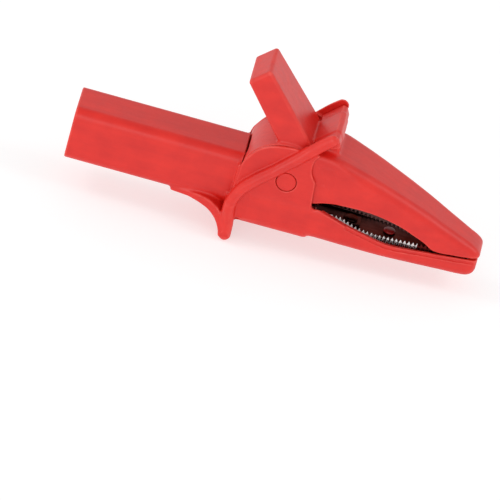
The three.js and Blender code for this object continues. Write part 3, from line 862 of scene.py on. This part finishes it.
def paint_teeth_light_and_shade(mesh):
    """Paints light and shade on the lower channel: the outer sides of the open lower teeth get the
    lit second material, the wall the shaded third, the rest the shaded first.
    """
    for face in mesh.polygons:
        x, _, z = (face.center - PIVOT) / MM
        outer = (face.center.y - PIVOT.y) * face.normal.y > 0.4 * MM
        tooth = z > along(LOWER_TEETH, x) - TOOTH_HEIGHT - 0.25 and x < PAINTED_LIGHT_END
        face.material_index = (1 if tooth else 2) if outer and x > PAINTED_LIGHT_START else 0


lower = [(CHANNEL_START, -7.2), (8.4, -6.8), (9.4, -6.05), (TEETH_START - 0.4, -5.95)]
lower_channel = channel(
    "lower_jaw", lower + tooth_stations(LOWER_TEETH, 1), [(0, WEB_LOW), (50, WEB_LOW)], 1,
)
roof = [(CHANNEL_START, 4.6), *ceiling(JAW_GAP)]
upper = [(CHANNEL_START, -1.6), (9.3, -2.4)]
upper_channel = channel("upper_jaw_plate", upper + tooth_stations(UPPER_TEETH, -1), roof, -1)
for mesh, up, body, node in (
    (lower_channel, 1, "body", "lower_jaw_channel"),
    (upper_channel, -1, "lever", "upper_jaw_channel"),
):
    # Both channels take the shaded steel as painted shade; the lower one also has its lit teeth
    # and shaded wall painted on
    piece(mesh, body, [node], PAINTED_SHADE_STEEL)
    if up > 0:
        mesh.materials.append(PAINTED_LIT_NICKEL)
        mesh.materials.append(PAINTED_SHADE_RED_WALL)
        paint_teeth_light_and_shade(mesh)


# --- Turned parts -------------------------------------------------------------------------------

def put_turned(name, profile, body, slot, material, ease=0.1, **place):
    points, faces = turned(softened(profile, ease), **place)
    return piece(faceted_mesh(name, points, faces, 40), body, [name], material)


def rod(r, low, high):
    return [(0, low), (r, low), (r, high), (0, high)]


def ring(inner, outer, low, high):
    return [(inner, high), (inner, low), (outer, low), (outer, high), (inner, high)]


def mirrored(profile, side):
    return profile if side > 0 else [(r, -h) for r, h in reversed(profile)]


put_turned("pivot_pin", rod(PIN_R, -PIN_HALF, PIN_HALF), "body", "pin_steel", PIN)
cap = [
    (0, PIN_HALF + 0.1), (PIN_R + PIN_RUN, PIN_HALF + 0.1), (PIN_R + PIN_RUN, CAP_START),
    (CAP_R, CAP_START), (CAP_R, CHEEK_HALF), (0.9, CHEEK_HALF + 0.05), (0, CHEEK_HALF + 0.06),
]
put_turned("pin_cap_near", mirrored(cap, -1), "body", "red_plastic", RED, 0.22)
put_turned("pin_cap_far", cap, "body", "red_plastic", RED, 0.22)
sleeve = ring(PIN_R + PIN_RUN, SLEEVE_R, -SLEEVE_HALF, SLEEVE_HALF)
put_turned("spring_sleeve", sleeve, "body", "white_plastic", WHITE)
for name, side in (("washer_left", -1), ("washer_right", 1)):
    washer = mirrored(ring(PIN_R + PIN_RUN, WASHER_R, WASHER_START, WASHER_END), side)
    put_turned(name, washer, "body", "pin_steel", PIN, 0.08)

web_top = WEB_LOW + WEB
head = [(1, -0.3), (1, 0.1), (1.25, 0.1), (1.25, 0.4), (0.9, 0.66), (0.45, 0.76), (0, 0.78)]
peg = [(0, -0.3)] + head
# The pegs take the darker red as painted shade
put_turned(
    "lower_peg", peg, "body", "red_plastic", PAINTED_SHADE_RED, 0.12, origin=(PEG_X, 0, web_top), axis="Z",
)
peg_z = float(along(ceiling(JAW_GAP + WEB), PEG_X))
rise = float(along(ceiling(0), PEG_X - 0.5) - along(ceiling(0), PEG_X + 0.5))
put_turned(
    "upper_peg", mirrored(peg, -1), "lever", "red_plastic", PAINTED_SHADE_RED, 0.12,
    origin=(PEG_X, 0, peg_z), axis="Z", lean=math.atan(rise),
)

axis_x = {"origin": (0, 0, BARREL_AXIS_Z), "axis": "X"}
tube = [
    (CONTACT_BORE, CONTACT_FRONT - 0.6), (CONTACT_BORE, CONTACT_REAR + 0.4),
    (CONTACT_BORE + 0.25, CONTACT_REAR), (CONTACT_R, CONTACT_REAR),
    (CONTACT_R, CONTACT_FRONT - 0.5), (3.4, CONTACT_FRONT - 0.5), (3.4, CONTACT_FRONT),
    (0.95, CONTACT_FRONT), (0.95, CONTACT_FRONT - 0.6), (CONTACT_BORE, CONTACT_FRONT - 0.6),
]
put_turned("contact_sleeve", tube, "body", "contact_brass", BRASS, 0.06, **axis_x)
bush = ring(CONTACT_R + 0.1, BORE_R - 0.1, CONTACT_FRONT - 5, CONTACT_FRONT - 0.7)
put_turned("contact_bush", bush, "body", "black_plastic", BLACK, **axis_x)
rivet = [
    (0, CONTACT_FRONT - 1.2), (1.6, CONTACT_FRONT - 1.2), (1.6, CONTACT_FRONT - 0.7),
    (0.85, CONTACT_FRONT - 0.7), (0.85, -18.3), (1.5, -18.3), (1.2, -17.7), (0, -17.7),
]
put_turned("sleeve_rivet", rivet, "body", "pin_steel", PIN, 0.1, **axis_x)
stud = [(0, -1.3), (0.9, -1.3), (0.9, 0), (1.5, 0), (1.45, 0.25), (0.9, 0.43), (0, 0.47)]
# The tongue rivet takes the shaded steel: painted shade
put_turned(
    "tongue_rivet", stud, "body", "pin_steel", PAINTED_SHADE_STEEL, 0.1,
    origin=(RIVET_X, 0, web_top + 0.1 + TONGUE + 0.1), axis="Z",
)


def contact_tongue():
    """The strip from the rivet in the jaw back to the tab behind the contact."""
    line = [
        (16.4, web_top + 0.35), (7.9, web_top + 0.35), (7.2, -8.3), (6.2, -8.05), (-17.9, -8.05),
        (-18.45, -7.9), (-18.65, -7.3), (-18.65, -1.4),
    ]
    at = np.array(line)
    way = np.gradient(at, axis=0)
    way /= np.linalg.norm(way, axis=1)[:, None]
    rows = []
    for (px, pz), (wx, wz) in zip(at, way):
        row = []
        for t, y in ((-1, -1), (-1, 1), (1, 1), (1, -1)):
            off = t * TONGUE / 2
            row.append((px - wz * off, y * TONGUE_HALF, pz + wx * off))
        rows.append(row)
    points, faces = loft(rows)
    return faceted_mesh("contact_tongue", points, faces, 30)


# The tongue takes the shaded steel: painted shade
made = piece(contact_tongue(), "body", ["contact_tongue"], PAINTED_SHADE_STEEL)
edge = made.modifiers.new("edge", "BEVEL")
edge.width, edge.segments, edge.limit_method = 0.08 * MM, 2, "ANGLE"

# The spring: its rear leg, the coil and its front leg, in one piece that is attached to no body
start_y = -COIL_TURNS * COIL_PITCH / 2
coil = [(x, start_y, -COIL_R) for x in np.linspace(-9, -0.6, 12)]
for k in range(int(COIL_TURNS * 40) + 1):
    a = math.radians(-90 + 9 * k)
    coil.append((COIL_R * math.cos(a), start_y + COIL_PITCH * k / 40, COIL_R * math.sin(a)))
last = coil[-1]
coil += [(last[0] - 0.05 * k, last[1], last[2] + 0.36 * k) for k in range(1, 7)]
points, faces = swept(coil, WIRE_R)
spring = piece(
    faceted_mesh("torsion_spring", points, faces, 60), None, ["torsion_spring"],
    WIRE,
)
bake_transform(spring)


# --- Stage, light and camera --------------------------------------------------------------------

def stage():
    half = 6.0
    corners = [(-half, -half, 0), (half, -half, 0), (half, half, 0), (-half, half, 0)]
    mesh = bpy.data.meshes.new("floor")
    mesh.from_pydata(corners, [], [(0, 1, 2, 3)])
    floor = bpy.data.objects.new("floor", mesh)
    bpy.context.scene.collection.objects.link(floor)
    s = Shading("floor_paper", Roughness=0.9, Emission_Color=(1, 1, 1, 1), Emission_Strength=0.55)
    s.feed("Base Color", s.ramp(s.noise(12, 3), (0.3, 0.5), (0.7, 0.53)))
    mesh.materials.append(s.material)


def area_light(name, place, size, power, target=PIVOT):
    lamp = bpy.data.lights.new(name, "AREA")
    lamp.shape, lamp.size, lamp.energy = "DISK", size, power
    made = bpy.data.objects.new(name, lamp)
    made.location = place
    made.rotation_mode = "QUATERNION"
    made.rotation_quaternion = (Vector(place) - target).to_track_quat("Z", "Y")
    bpy.context.scene.collection.objects.link(made)


stage()
area_light("front", (-0.35, -1.3, 0.35), 0.7, 3.6)
area_light("left", (-1.0, -0.1, 1.0), 0.6, 3.0)
area_light("right", (1.0, -0.1, 1.0), 0.6, 3.0)
world = bpy.data.worlds.new("studio")
bpy.context.scene.world = world
world.use_nodes = True
sky = world.node_tree
around = sky.nodes.new("ShaderNodeTexCoord").outputs["Generated"]
parts = sky.nodes.new("ShaderNodeSeparateXYZ")
sky.links.new(around, parts.inputs[0])
tent = sky.nodes.new("ShaderNodeValToRGB")
sky.links.new(parts.outputs["Z"], tent.inputs["Fac"])
stops = tent.color_ramp.elements
stops.new(0.5)
for stop, at, level in zip(stops, (0.0, 0.5, 1.0), (0.95, 0.8, 0.5)):
    stop.position, stop.color = at, (level, level, level, 1)
sky.links.new(tent.outputs["Color"], sky.nodes["Background"].inputs["Color"])
bpy.context.scene.view_settings.view_transform = "Standard"

# The camera looks at the clip's side from 30 degrees above, rolled so that the nose points down
# to the right.
ELEVATION = math.radians(30)
ROLL = math.radians(15.5)
DISTANCE = 2000
VIEW_WIDTH = 99.2
AIM_BEHIND = 8.1
AIM_BELOW = 16.87

right = Vector((1, 0, 0))
up = Vector((0, math.sin(ELEVATION), math.cos(ELEVATION)))
rolled_right = right * math.cos(ROLL) + up * math.sin(ROLL)
rolled_up = up * math.cos(ROLL) - right * math.sin(ROLL)
back = rolled_right.cross(rolled_up)
aim = PIVOT - (rolled_right * AIM_BEHIND + rolled_up * AIM_BELOW) * MM
lens = bpy.data.cameras.new("camera")
camera = bpy.data.objects.new("camera", lens)
bpy.context.scene.collection.objects.link(camera)
lens.sensor_width = 36
lens.lens = lens.sensor_width * DISTANCE / VIEW_WIDTH
lens.clip_start, lens.clip_end = 0.05, 20
turn = Matrix((rolled_right, rolled_up, back)).transposed()
camera.matrix_world = Matrix.Translation(aim + back * DISTANCE * MM) @ turn.to_4x4()
bpy.context.scene.camera = camera
